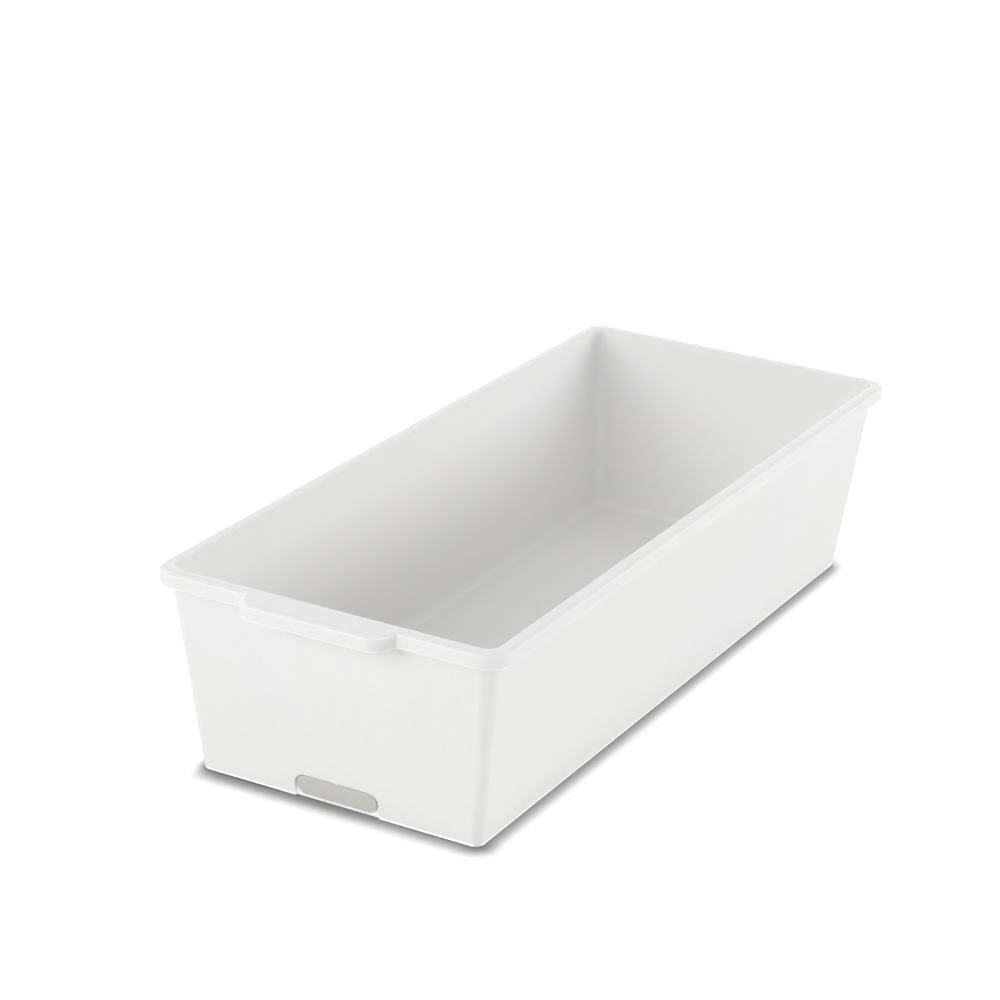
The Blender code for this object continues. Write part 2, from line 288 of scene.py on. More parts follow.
def four_ways(back, front):
    """Closes an outline from its back and front quarters, each written from +X round to +Y."""
    def flip(pair, x, y):
        point, out = pair
        return Vector((point.x * x, point.y * y)), Vector((out.x * x, out.y * y))

    ring = list(back)
    ring += [flip(pair, -1, 1) for pair in reversed(back)]
    ring += [flip(pair, -1, -1) for pair in front]
    ring += [flip(pair, 1, -1) for pair in reversed(front)]
    return ring


def rounded_rectangle(half_width, half_length, radius):
    centre = (half_width - radius, half_length - radius)
    quarter = facing_arc(centre, radius, 0, QUARTER, CORNER_STEPS)
    return four_ways(quarter, quarter)


def circle(radius):
    return facing_arc((0, 0), radius, 0, 2 * pi, TURN_STEPS)[:-1]


def pill(length, height):
    """A bar with full round ends."""
    radius = height / 2
    reach = length / 2 - radius
    right = facing_arc((reach, 0), radius, -QUARTER, QUARTER, OUTLINE_STEPS)
    left = facing_arc((-reach, 0), radius, QUARTER, 3 * QUARTER, OUTLINE_STEPS)
    return right + left


def band_outline():
    """The rim's band and its lip: at each end a tight root, a slanted flank and a large shoulder."""
    half_width = RIM_WIDTH / 2
    half_length = RIM_LENGTH / 2
    centre = (half_width - RIM_CORNER, half_length - RIM_CORNER)
    corner = facing_arc(centre, RIM_CORNER, 0, QUARTER, CORNER_STEPS)
    both_rounds = LIP_ROOT_ROUND + LIP_END_ROUND
    sweep = min(QUARTER - LIP_SLANT, acos(max(-1, 1 - LIP_REACH / both_rounds)))
    flank = (LIP_REACH - both_rounds * (1 - cos(sweep))) / sin(sweep)
    root_centre = (LIP_LENGTH / 2, half_length + LIP_ROOT_ROUND)
    end_centre = (LIP_LENGTH / 2 - both_rounds * sin(sweep) - flank * cos(sweep),
                  half_length + LIP_REACH - LIP_END_ROUND)
    root = facing_arc(root_centre, LIP_ROOT_ROUND, -QUARTER, -QUARTER - sweep, LIP_ROOT_STEPS, sign=-1)
    end = facing_arc(end_centre, LIP_END_ROUND, QUARTER - sweep, QUARTER, LIP_END_STEPS)
    return four_ways(corner, corner + root + end)


def wall_outlines(inner):
    """The walls' face at the rim's height and at the foot's."""
    top = RIM_CORNER - OVERHANG
    foot = FOOT_CORNER
    half_width = RIM_WIDTH / 2 - OVERHANG
    half_length = RIM_LENGTH / 2 - OVERHANG
    if inner:
        half_width -= WALL
        half_length -= WALL
        top -= WALL
        foot = INNER_FOOT_CORNER
    return (rounded_rectangle(half_width, half_length, top),
            rounded_rectangle(half_width - SIDE_LEAN, half_length - END_LEAN, foot))


def finished(points, smoothness):
    """Gives each point of a section the smoothness of its surface; a mark above 1 adds painted highlight
    and glow, and on the soft pieces a mark gives painted shade.
    """
    return [(across, up, smoothness) for across, up in points]


def outer_wall_section():
    foot = arc((-FOOT_ROUND, FOOT_TOP), FOOT_ROUND, -QUARTER, 0, SMALL_EDGE_STEPS)
    underside = foot[:1]
    # Painted highlight: the foot's round and a thin strip above it glow as a white line
    painted_glow_foot = foot[1:] + [(0, FOOT_TOP + PAINTED_GLOW_REACH)]
    above_foot = (0, FOOT_TOP + PAINTED_GLOW_REACH + PAINTED_GLOW_FADE, TEXTURED)
    under_rim = arc((RIM_UNDER_FILLET, RIM_UNDERSIDE - RIM_UNDER_FILLET), RIM_UNDER_FILLET,
                    2 * QUARTER, QUARTER, SMALL_EDGE_STEPS)
    return (finished(underside, TEXTURED) + finished(painted_glow_foot, PAINTED_GLOW_EDGE) + [above_foot]
            + finished(under_rim, TEXTURED))


def band_section():
    """Up under the rim, down the band's inner face, round its foot, up its face and over the crown."""
    inner_face = -BAND_THICKNESS
    inside = arc((inner_face - RIM_UNDER_FILLET, RIM_UNDERSIDE - RIM_UNDER_FILLET), RIM_UNDER_FILLET,
                 QUARTER, 0, SMALL_EDGE_STEPS)
    foot = arc((inner_face + BAND_FOOT_ROUND, BAND_FOOT + BAND_FOOT_ROUND), BAND_FOOT_ROUND,
               -2 * QUARTER, -QUARTER, SMALL_EDGE_STEPS)
    # Painted highlight: the outer round of the band's foot glows faintly
    foot_edge = arc((-BAND_FOOT_ROUND, BAND_FOOT + BAND_FOOT_ROUND), BAND_FOOT_ROUND,
                    -QUARTER, 0, SMALL_EDGE_STEPS)
    above_foot = (0, BAND_FOOT + BAND_FOOT_ROUND + PAINTED_GLOW_FADE, TEXTURED)
    crown_angle = acos(1 - RIM_CROWN_DROP / RIM_CROWN_RADIUS)
    crown_reach = RIM_CROWN_RADIUS * sin(crown_angle)
    crown_foot = HEIGHT - RIM_CROWN_RADIUS
    inset = crown_reach - PARTING_EDGE_ROUND
    lift = sqrt((RIM_CROWN_RADIUS - PARTING_EDGE_ROUND) ** 2 - inset ** 2)
    start = atan2(lift, inset)
    edge = arc((-PARTING_EDGE_ROUND, crown_foot + lift), PARTING_EDGE_ROUND, 0, start, SMALL_EDGE_STEPS)
    # Painted highlight: the parting edge's round glows more towards the crown
    rising_painted_glow = [(across, up, FAINT_PAINTED_GLOW_EDGE * i / SMALL_EDGE_STEPS) for i, (across, up) in enumerate(edge)]
    crown = arc((-crown_reach, crown_foot), RIM_CROWN_RADIUS, start, QUARTER, EDGE_STEPS)[1:]
    return (finished(inside + foot, TEXTURED) + finished(foot_edge, FAINT_PAINTED_GLOW_EDGE) + [above_foot]
            + rising_painted_glow + finished(crown, POLISHED))


def inner_wall_section():
    edge = arc((RIM_INNER_ROUND, HEIGHT - RIM_INNER_ROUND), RIM_INNER_ROUND,
               QUARTER, 2 * QUARTER, SMALL_EDGE_STEPS)
    fillet = arc((-FLOOR_FILLET, FLOOR_TOP + FLOOR_FILLET), FLOOR_FILLET, 0, -QUARTER, EDGE_STEPS)
    below = (0, HEIGHT - SATIN_FROM, SATIN)
    return finished(edge, POLISHED) + [below] + finished(fillet, SATIN)


def cutter_section(depth, fillet, mouth, finish):
    """Side of a cutter from the roof of its cut, through the surface at 0, to beyond the mouth's round."""
    side = arc((-fillet, -depth + fillet), fillet, -QUARTER, 0, SMALL_EDGE_STEPS)
    side += arc((mouth, -mouth), mouth, 2 * QUARTER, QUARTER, SMALL_EDGE_STEPS)
    side.append((mouth, OVERRUN))
    return finished(side, finish)


class TreeWriter:
    """Adds nodes to a tree and joins them, each by its type, its settings and what feeds its inputs."""

    def __init__(self, tree):
        self.tree = tree
        self.column = 0

    def add(self, kind, settings=None, **feeds):
        node = self.tree.nodes.new(kind)
        self.column += 1
        node.location = (NODE_SPACING * self.column, 0)
        for name, value in (settings or {}).items():
            setattr(node, name, value)
        for name, value in feeds.items():
            key = int(name[1:]) if name[0] == "n" and name[1:].isdigit() else name.replace("_", " ")
            self.feed(node.inputs[key], value)
        return node

    def feed(self, socket, value):
        if isinstance(value, bpy.types.NodeSocket):
            self.tree.links.new(value, socket)
        else:
            socket.default_value = value

    def math(self, operation, first, second=0.0):
        return self.add("ShaderNodeMath", {"operation": operation}, n0=first, n1=second).outputs[0]

    def vector(self, operation, first, second):
        return self.add("ShaderNodeVectorMath", {"operation": operation}, n0=first, n1=second).outputs[0]

    def scaled(self, vector, factor):
        return self.add("ShaderNodeVectorMath", {"operation": "SCALE"}, n0=vector, Scale=factor).outputs[0]

    def one_less(self, value):
        return self.math("SUBTRACT", 1.0, value)

    def between(self, factor, low, high):
        """A number that goes from low to high with a factor from 0 to 1."""
        return self.add("ShaderNodeMix", {"data_type": "FLOAT"}, Factor=factor, n2=low, n3=high).outputs[0]

    def blended(self, factor, low, high):
        """A colour that goes from low to high with a factor from 0 to 1."""
        return self.add("ShaderNodeMix", {"data_type": "RGBA"}, Factor=factor, n6=low, n7=high).outputs[2]

    def ramp(self, value, start, end, low=0.0, high=1.0, kind="LINEAR"):
        """A number that goes from low to high while a value goes from start to end."""
        return self.add("ShaderNodeMapRange", {"interpolation_type": kind}, Value=value, From_Min=start,
                        From_Max=end, To_Min=low, To_Max=high).outputs[0]


def new_tree(name, inputs):
    """A Geometry Nodes tree with a geometry in and out, and its named inputs."""
    tree = bpy.data.node_groups.new(name, "GeometryNodeTree")
    tree.interface.new_socket(name="Geometry", in_out="INPUT", socket_type="NodeSocketGeometry")
    for socket, kind in inputs:
        tree.interface.new_socket(name=socket, in_out="INPUT", socket_type=kind)
    tree.interface.new_socket(name="Geometry", in_out="OUTPUT", socket_type="NodeSocketGeometry")
    return tree, TreeWriter(tree)


def end_tree(writer, geometry, material):
    """Ends a tree: what it made becomes real geometry and gets its material."""
    real = writer.add("GeometryNodeRealizeInstances", Geometry=geometry).outputs[0]
    dressed = writer.add("GeometryNodeSetMaterial", Geometry=real, Material=material).outputs[0]
    writer.add("NodeGroupOutput", Geometry=dressed)


def section_sweep_tree():
    """A section carried round an outline: each point of the outline knows its outward direction and its
    lean, which is how far it moves on the way down from the rim to the foot."""
    tree, writer = new_tree("section_sweep", [
        ("Section", "NodeSocketObject"), ("Section Points", "NodeSocketInt"),
        ("Outline Points", "NodeSocketInt"), ("Lean From Height", "NodeSocketFloat"),
        ("Lean Over Height", "NodeSocketFloat"), ("Weld Distance", "NodeSocketFloat"),
        ("Material", "NodeSocketMaterial")])
    given = writer.add("NodeGroupInput").outputs
    columns = writer.math("ADD", given["Outline Points"], 1.0)
    grid = writer.add("GeometryNodeMeshGrid", Vertices_X=columns, Vertices_Y=given["Section Points"])
    index = writer.add("GeometryNodeInputIndex").outputs[0]
    middle = writer.math("ADD", index, INDEX_MIDDLE)
    column = writer.math("FLOOR", writer.math("DIVIDE", middle, given["Section Points"]))
    row = writer.math("SUBTRACT", index, writer.math("MULTIPLY", column, given["Section Points"]))
    around = writer.math("MODULO", column, given["Outline Points"])
    section = writer.add("GeometryNodeObjectInfo", Object=given["Section"]).outputs["Geometry"]
    position = writer.add("GeometryNodeInputPosition").outputs[0]

    def sampled(geometry, value, place):
        picker = writer.add("GeometryNodeSampleIndex", {"data_type": "FLOAT_VECTOR"},
                            Geometry=geometry, Value=value, Index=place)
        return picker.outputs[0]

    def named(name):
        return writer.add("GeometryNodeInputNamedAttribute", {"data_type": "FLOAT_VECTOR"},
                          Name=name).outputs["Attribute"]

    outline_point = sampled(given["Geometry"], position, around)
    outward = sampled(given["Geometry"], named("outward"), around)
    lean = sampled(given["Geometry"], named("lean"), around)
    parts = writer.add("ShaderNodeSeparateXYZ", Vector=sampled(section, position, row)).outputs
    across, smoothness, up = parts["X"], parts["Y"], parts["Z"]
    drop = writer.math("DIVIDE", writer.math("SUBTRACT", given["Lean From Height"], up),
                       given["Lean Over Height"])
    place = writer.vector("ADD", outline_point, writer.scaled(outward, across))
    place = writer.vector("ADD", place, writer.scaled(lean, drop))
    lift = writer.add("ShaderNodeCombineXYZ", Z=up).outputs[0]
    place = writer.vector("ADD", place, lift)
    skin = writer.add("GeometryNodeSetPosition", Geometry=grid.outputs["Mesh"], Position=place).outputs[0]
    skin = writer.add("GeometryNodeStoreNamedAttribute", {"data_type": "FLOAT", "domain": "POINT"},
                      Geometry=skin, Name="smoothness", Value=smoothness).outputs[0]
    skin = writer.add("GeometryNodeMergeByDistance", Geometry=skin,
                      Distance=given["Weld Distance"]).outputs[0]
    end_tree(writer, skin, given["Material"])
    return tree


def set_of_pieces_tree():
    """One piece set on every point."""
    tree, writer = new_tree("set_of_pieces", [
        ("Piece", "NodeSocketObject"), ("Material", "NodeSocketMaterial")])
    given = writer.add("NodeGroupInput").outputs
    piece = writer.add("GeometryNodeObjectInfo", Object=given["Piece"]).outputs["Geometry"]
    spread = writer.add("GeometryNodeInstanceOnPoints", Points=given["Geometry"], Instance=piece).outputs[0]
    end_tree(writer, spread, given["Material"])
    return tree


def run_tree(tree, item, values):
    """Runs a tree on an object and returns what it makes as a plain mesh. The object goes."""
    modifier = item.modifiers.new("shape", "NODES")
    modifier.node_group = tree
    for socket in tree.interface.items_tree:
        if socket.in_out == "INPUT" and socket.name in values:
            modifier[socket.identifier] = values[socket.name]
    depsgraph = bpy.context.evaluated_depsgraph_get()
    mesh = bpy.data.meshes.new_from_object(item.evaluated_get(depsgraph), depsgraph=depsgraph)
    item.modifiers.remove(modifier)
    bpy.data.objects.remove(item)
    mesh.materials.clear()
    mesh.materials.append(values["Material"])
    mesh.polygons.foreach_set("material_index", [0] * len(mesh.polygons))
    return mesh


def linked(name, data):
    """A new object in the scene."""
    item = bpy.data.objects.new(name, data)
    bpy.context.scene.collection.objects.link(item)
    return item


def guide_object(name, points):
    """Loose points that a tree reads."""
    mesh = bpy.data.meshes.new(name)
    mesh.from_pydata(points, [], [])
    return linked(name, mesh)


def swept_mesh(name, outline, section, material, foot_outline=None):
    """Carries a section round an outline, which may lean towards another one at the foot."""
    points = [(point.x, point.y, 0) for point, out in outline]
    ring = guide_object(name + "_outline", points)
    outward = ring.data.attributes.new("outward", "FLOAT_VECTOR", "POINT")
    lean = ring.data.attributes.new("lean", "FLOAT_VECTOR", "POINT")
    for i, (point, out) in enumerate(outline):
        outward.data[i].vector = (out.x, out.y, 0)
        shift = (foot_outline[i][0] - point) if foot_outline else Vector((0, 0))
        lean.data[i].vector = (shift.x, shift.y, 0)
    side = guide_object(name + "_section", [(across, smooth, up) for across, up, smooth in section])
    mesh = run_tree(SECTION_SWEEP, ring, {
        "Section": side, "Section Points": len(section), "Outline Points": len(outline),
        "Lean From Height": HEIGHT, "Lean Over Height": WALL_HEIGHT,
        "Weld Distance": WELD_DISTANCE, "Material": material})
    bpy.data.objects.remove(side)
    mesh.name = name
    return mesh


def close_levels(body):
    """Fills every open level of a mesh: the flat between two loops, or the whole of a single one."""
    edges = [edge for edge in body.edges if edge.is_boundary]
    levels = []
    for edge in edges:
        height = edge.verts[0].co.z
        if not any(abs(height - level) < LEVEL_TOLERANCE for level in levels):
            levels.append(height)
    for level in levels:
        ring = [edge for edge in edges if abs(edge.verts[0].co.z - level) < LEVEL_TOLERANCE]
        bmesh.ops.triangle_fill(body, use_beauty=True, edges=ring, normal=Vector((0, 0, 1)))
    bmesh.ops.recalc_face_normals(body, faces=body.faces)


def joined_body(name, meshes, place=Matrix.Identity(4)):
    """Skins that meet at shared levels, closed into one body and set in its place."""
    body = bmesh.new()
    for mesh in meshes:
        body.from_mesh(mesh)
    close_levels(body)
    joined = bpy.data.meshes.new(name)
    body.to_mesh(joined)
    body.free()
    for material in meshes[0].materials:
        joined.materials.append(material)
    joined.transform(place)
    return linked(name, joined)


def apply_modifiers(item):
    """Makes a plain mesh of an object as its modifiers leave it."""
    depsgraph = bpy.context.evaluated_depsgraph_get()
    mesh = bpy.data.meshes.new_from_object(item.evaluated_get(depsgraph), depsgraph=depsgraph)
    item.modifiers.clear()
    item.data = mesh


def weld(mesh):
    """Joins the corners that a cut leaves on top of each other."""
    body = bmesh.new()
    body.from_mesh(mesh)
    bmesh.ops.remove_doubles(body, verts=body.verts, dist=WELD_DISTANCE)
    body.to_mesh(mesh)
    body.free()


def cut(item, cutters):
    """Takes the cutters out of a piece, one after another."""
    for cutter in cutters:
        step = item.modifiers.new("cut", "BOOLEAN")
        step.operation = "DIFFERENCE"
        step.solver = "EXACT"
        step.object = cutter
    apply_modifiers(item)
    for cutter in cutters:
        bpy.data.objects.remove(cutter)
    weld(item.data)


def shade(item):
    """Smooth rounds, flat flats: normals follow the larger faces, and sharp edges stay sharp."""
    item.data.shade_smooth()
    item.data.set_sharp_from_angle(angle=CREASE_ANGLE)
    step = item.modifiers.new("flats", "WEIGHTED_NORMAL")
    step.mode = "FACE_AREA"
    step.weight = FLAT_WEIGHT
    step.keep_sharp = True
    apply_modifiers(item)


def to_world():
    """The part's frame is the middle of the overall box, so the rim sits half the lip's reach back."""
    return Matrix.Translation((0, LIP_REACH / 2, 0))


def front_wall_place(height):
    """Frame on the front wall at a height: X across, Y up the slope, Z out of the wall."""
    drop = (HEIGHT - height) / WALL_HEIGHT
    face = -(RIM_LENGTH / 2 - OVERHANG - END_LEAN * drop)
    across = Vector((1, 0, 0))
    up = Vector((0, -sin(END_SLOPE), cos(END_SLOPE)))
    normal = across.cross(up)
    turn = Matrix((across, up, normal)).transposed().to_4x4()
    return to_world() @ Matrix.Translation((0, face, height)) @ turn


def underside_place(x=0.0, y=0.0, height=PAD_STAND):
    """Frame on the underside, with Z out of it."""
    return to_world() @ Matrix.Translation((x, y, height)) @ Matrix.Rotation(pi, 4, "X")


def recess_cutter():
    radius = BADGE_HEIGHT / 2 + RECESS_TOP_MARGIN
    reach = BADGE_LENGTH / 2 + RECESS_SIDE_MARGIN - radius
    bottom = -BADGE_RISE - OVERRUN
    right = facing_arc((reach, 0), radius, 0, QUARTER, OUTLINE_STEPS)
    left = facing_arc((-reach, 0), radius, QUARTER, 2 * QUARTER, OUTLINE_STEPS)
    nib = [(Vector((x, y)), Vector((0, 1)))
           for x, y in ((NIB_WIDTH / 2, radius), (NIB_WIDTH / 2 - NIB_REACH, radius - NIB_REACH),
                        (NIB_REACH - NIB_WIDTH / 2, radius - NIB_REACH), (-NIB_WIDTH / 2, radius))]
    low_right = (Vector((reach + radius, bottom)), Vector((1, 0)))
    low_left = (Vector((-reach - radius, bottom)), Vector((-1, 0)))
    outline = [low_right] + right + nib + left + [low_left]
    # Painted highlight: the recess's faces take the glow mark, which refinish keeps only near the foot
    section = cutter_section(RECESS_DEPTH, RECESS_FLOOR_FILLET, RECESS_MOUTH_ROUND, PAINTED_GLOW_EDGE)
    mesh = swept_mesh("recess_cutter", outline, section, WHITE)
    return joined_body("recess_cutter", [mesh], front_wall_place(BADGE_RISE))


def panel_cutter():
    outline = rounded_rectangle(BASE_HALF_WIDTH - PANEL_MARGIN, BASE_HALF_LENGTH - PANEL_MARGIN,
                                PANEL_CORNER)
    section = cutter_section(PANEL_DEPTH, PANEL_EDGE_ROUND / 2, PANEL_EDGE_ROUND / 2, TEXTURED)
    mesh = swept_mesh("panel_cutter", outline, section, WHITE)
    return joined_body("panel_cutter", [mesh], underside_place())


def gate_cutter():
    """A round dish in the panel that leaves the gate's nub standing in its middle."""
    roof = -GATE_DISH_DEPTH
    nub = [(-GATE_DISH_RADIUS, roof + GATE_NUB_HEIGHT),
           (GATE_NUB_RADIUS - GATE_DISH_RADIUS, roof + GATE_NUB_HEIGHT),
           (GATE_NUB_RADIUS - GATE_DISH_RADIUS, roof)]
    side = cutter_section(GATE_DISH_DEPTH, PANEL_EDGE_ROUND / 2, PANEL_EDGE_ROUND / 2, TEXTURED)
    mesh = swept_mesh("gate_cutter", circle(GATE_DISH_RADIUS), finished(nub, TEXTURED) + side, WHITE)
    return joined_body("gate_cutter", [mesh], underside_place(height=PAD_STAND + PANEL_DEPTH))


def pad_centres():
    across = BASE_HALF_WIDTH - PAD_FROM_SIDE
    along = BASE_HALF_LENGTH - PAD_FROM_END
    return [(x * across, y * along) for y in (-1, 1) for x in (-1, 1)]


def pocket_cutters():
    cutters = []
    for x, y in pad_centres():
        section = cutter_section(PAD_POCKET_DEPTH, POCKET_EDGE_ROUND / 2, POCKET_EDGE_ROUND, TEXTURED)
        mesh = swept_mesh("pocket_cutter", circle(PAD_RADIUS + CLEARANCE), section, WHITE)
        cutters.append(joined_body("pocket_cutter", [mesh], underside_place(x, y)))
    return cutters


def refinish(item):
    """Cutting mixes up the finish of the corners that it makes, so those near a cut get theirs again, and
    the recess keeps its painted glow only near the foot.
    """
    fade_top = FOOT_TOP + PAINTED_GLOW_REACH + PAINTED_GLOW_FADE
    foot_half_width = BASE_HALF_WIDTH - FOOT_ROUND - LEVEL_TOLERANCE
    foot_half_length = BASE_HALF_LENGTH - FOOT_ROUND - LEVEL_TOLERANCE
    mouth = RECESS_MOUTH_ROUND + LEVEL_TOLERANCE
    recess_reach = BADGE_LENGTH / 2 + RECESS_SIDE_MARGIN + mouth
    recess_top = BADGE_RISE + BADGE_HEIGHT / 2 + RECESS_TOP_MARGIN + mouth
    recess_floor = RECESS_DEPTH / cos(END_SLOPE) + LEVEL_TOLERANCE
    to_local = to_world().inverted()
    finish = item.data.attributes["smoothness"].data
    for vertex, entry in zip(item.data.vertices, finish):
        across, along, up = to_local @ vertex.co
        behind = along + BASE_HALF_LENGTH + END_LEAN * (up - PAD_STAND) / WALL_HEIGHT
        painted_glow_share = min(1.0, max(0.0, (fade_top - up) / PAINTED_GLOW_FADE))
        # Painted highlight: in the recess, points near the foot glow, fading out above; the rest inside is
        # polished
        if abs(across) < recess_reach and up < recess_top and behind < recess_floor:
            on_wall = behind < LEVEL_TOLERANCE
            inside = FAINT_PAINTED_GLOW_EDGE if painted_glow_share > 0 else POLISHED
            entry.value = PAINTED_GLOW_EDGE * painted_glow_share if on_wall else inside
            continue
        inside_foot = abs(across) < foot_half_width and abs(along) < foot_half_length
        if inside_foot and up < FLOOR_TOP - LEVEL_TOLERANCE:
            entry.value = TEXTURED


def make_shell():
    """The moulding: outer wall, band and inner wall, closed by the rim's flats and the two floors."""
    outer_top, outer_foot = wall_outlines(inner=False)
    inner_top, inner_foot = wall_outlines(inner=True)
    skins = [swept_mesh("outer_wall", outer_top, outer_wall_section(), WHITE, outer_foot),
             swept_mesh("rim_band", band_outline(), band_section(), WHITE),
             swept_mesh("inner_wall", inner_top, inner_wall_section(), WHITE, inner_foot)]
    shell = joined_body("moulded_shell", skins, to_world())
    cut(shell, [recess_cutter(), panel_cutter(), gate_cutter()] + pocket_cutters())
    refinish(shell)
    shade(shell)
    return shell


def make_badge():
    """The soft insert, slightly crowned, its edge rounded and its back held off the recess."""
    radius = BADGE_HEIGHT / 2
    back = -RECESS_DEPTH + CLEARANCE
    front = back + BADGE_THICKNESS
    corner = (-BADGE_EDGE_ROUND, front - BADGE_CROWN - BADGE_EDGE_ROUND)
    side = [(-radius, back), (0, back), (0, front - BADGE_CROWN - BADGE_EDGE_ROUND)]
    edge = arc(corner, BADGE_EDGE_ROUND, 0, QUARTER, SMALL_EDGE_STEPS)[1:]
    crown = [(-radius * i / SMALL_EDGE_STEPS, front - BADGE_CROWN * (1 - i / SMALL_EDGE_STEPS) ** 2)
             for i in range(1, SMALL_EDGE_STEPS + 1)]
    outline = pill(BADGE_LENGTH, BADGE_HEIGHT)
    # Painted shade: the sides, marked as polished, are coloured darker as if in the shadow of the gap
    section = finished(side, POLISHED) + finished(edge + crown, TEXTURED)
    mesh = swept_mesh("soft_badge", outline, section, BADGE_GREY)
    badge = joined_body("soft_badge", [mesh], front_wall_place(BADGE_RISE))
    shade(badge)
    return badge


def make_pads():
    """One turned pad, set on the four corners of the base."""
    top = PAD_STAND + PAD_POCKET_DEPTH - CLEARANCE
    side = [(-PAD_RADIUS, 0)]
    side += arc((-PAD_EDGE_ROUND, PAD_EDGE_ROUND), PAD_EDGE_ROUND, -QUARTER, 0, SMALL_EDGE_STEPS)
    side += [(0, top), (-PAD_RADIUS, top)]
    mesh = swept_mesh("pad", circle(PAD_RADIUS), finished(side, TEXTURED), PAD_GREY)
    pad = joined_body("pad", [mesh])
    points = guide_object("pad_points", [(x, y, 0) for x, y in pad_centres()])
    pads = run_tree(SET_OF_PIECES, points, {"Piece": pad, "Material": PAD_GREY})
    bpy.data.objects.remove(pad)
    pads.name = "foot_pads"
    pads.transform(to_world())
    item = linked("foot_pads", pads)
    shade(item)
    return item


def new_group(name, inputs, outputs):
    """A shader node group with its named inputs, their starting values and its outputs."""
    tree = bpy.data.node_groups.new(name, "ShaderNodeTree")
    for socket, kind, value in inputs:
        made = tree.interface.new_socket(name=socket, in_out="INPUT", socket_type=kind)
        if value is not None:
            made.default_value = value
    for socket, kind in outputs:
        tree.interface.new_socket(name=socket, in_out="OUTPUT", socket_type=kind)
    return tree, TreeWriter(tree)


def mould_grain_group():
    """The fine texture that a spark-eroded mould leaves: rounded grains of two sizes."""
    tree, writer = new_group("mould_grain", [
        ("Vector", "NodeSocketVector", None), ("Grain Size", "NodeSocketFloat", WALL_GRAIN),
        ("Coarse Share", "NodeSocketFloat", WALL_COARSE_SHARE)], [("Height", "NodeSocketFloat")])
    given = writer.add("NodeGroupInput").outputs
    fineness = writer.math("DIVIDE", 1.0, given["Grain Size"])
    fine = writer.add("ShaderNodeTexNoise", Vector=given["Vector"], Scale=fineness, Detail=GRAIN_DETAIL,
                      Roughness=GRAIN_DETAIL_ROUGHNESS).outputs[0]
    coarse = writer.add("ShaderNodeTexVoronoi", {"feature": "SMOOTH_F1"}, Vector=given["Vector"],
                        Scale=writer.math("MULTIPLY", fineness, COARSE_FINENESS),
                        Smoothness=COARSE_SMOOTHNESS).outputs[0]
    share = writer.math("MULTIPLY", coarse, given["Coarse Share"])
    rest = writer.math("MULTIPLY", fine, writer.one_less(given["Coarse Share"]))
    writer.add("NodeGroupOutput", Height=writer.math("ADD", share, rest))
    return tree


def flow_mottle_group():
    """Slow, faint unevenness, as the melt leaves it over a whole wall."""
    tree, writer = new_group("flow_mottle", [
        ("Vector", "NodeSocketVector", None), ("Patch Size", "NodeSocketFloat", GLOSS_PATCH),
        ("Low", "NodeSocketFloat", 0.0), ("High", "NodeSocketFloat", 1.0)],
        [("Value", "NodeSocketFloat")])
    given = writer.add("NodeGroupInput").outputs
    stretch = writer.vector("MULTIPLY", given["Vector"], FLOW_STRETCH)
    slow = writer.add("ShaderNodeTexNoise", Vector=stretch, Detail=FLOW_DETAIL,
                      Roughness=FLOW_DETAIL_ROUGHNESS,
                      Scale=writer.math("DIVIDE", 1.0, given["Patch Size"])).outputs[0]
    spread = writer.ramp(slow, FLOW_FROM, FLOW_TO, given["Low"], given["High"])
    writer.add("NodeGroupOutput", Value=spread)
    return tree


def new_material(name):
    """An empty material and what writes its nodes."""
    material = bpy.data.materials.new(name)
    material.use_nodes = True
    material.node_tree.nodes.clear()
    return material, TreeWriter(material.node_tree)


def placed_group(writer, group, **feeds):
    """A shared pattern, placed in a material with its own values."""
    node = writer.tree.nodes.new("ShaderNodeGroup")
    node.node_tree = group
    for name, value in feeds.items():
        writer.feed(node.inputs[name.replace("_", " ")], value)
    return node.outputs[0]


def tinted(writer, colour, low, high, factor):
    """A colour between two lightnesses of itself."""
    dark = (*[channel * low for channel in colour], 1.0)
    light = (*[channel * high for channel in colour], 1.0)
    return writer.blended(factor, dark, light)


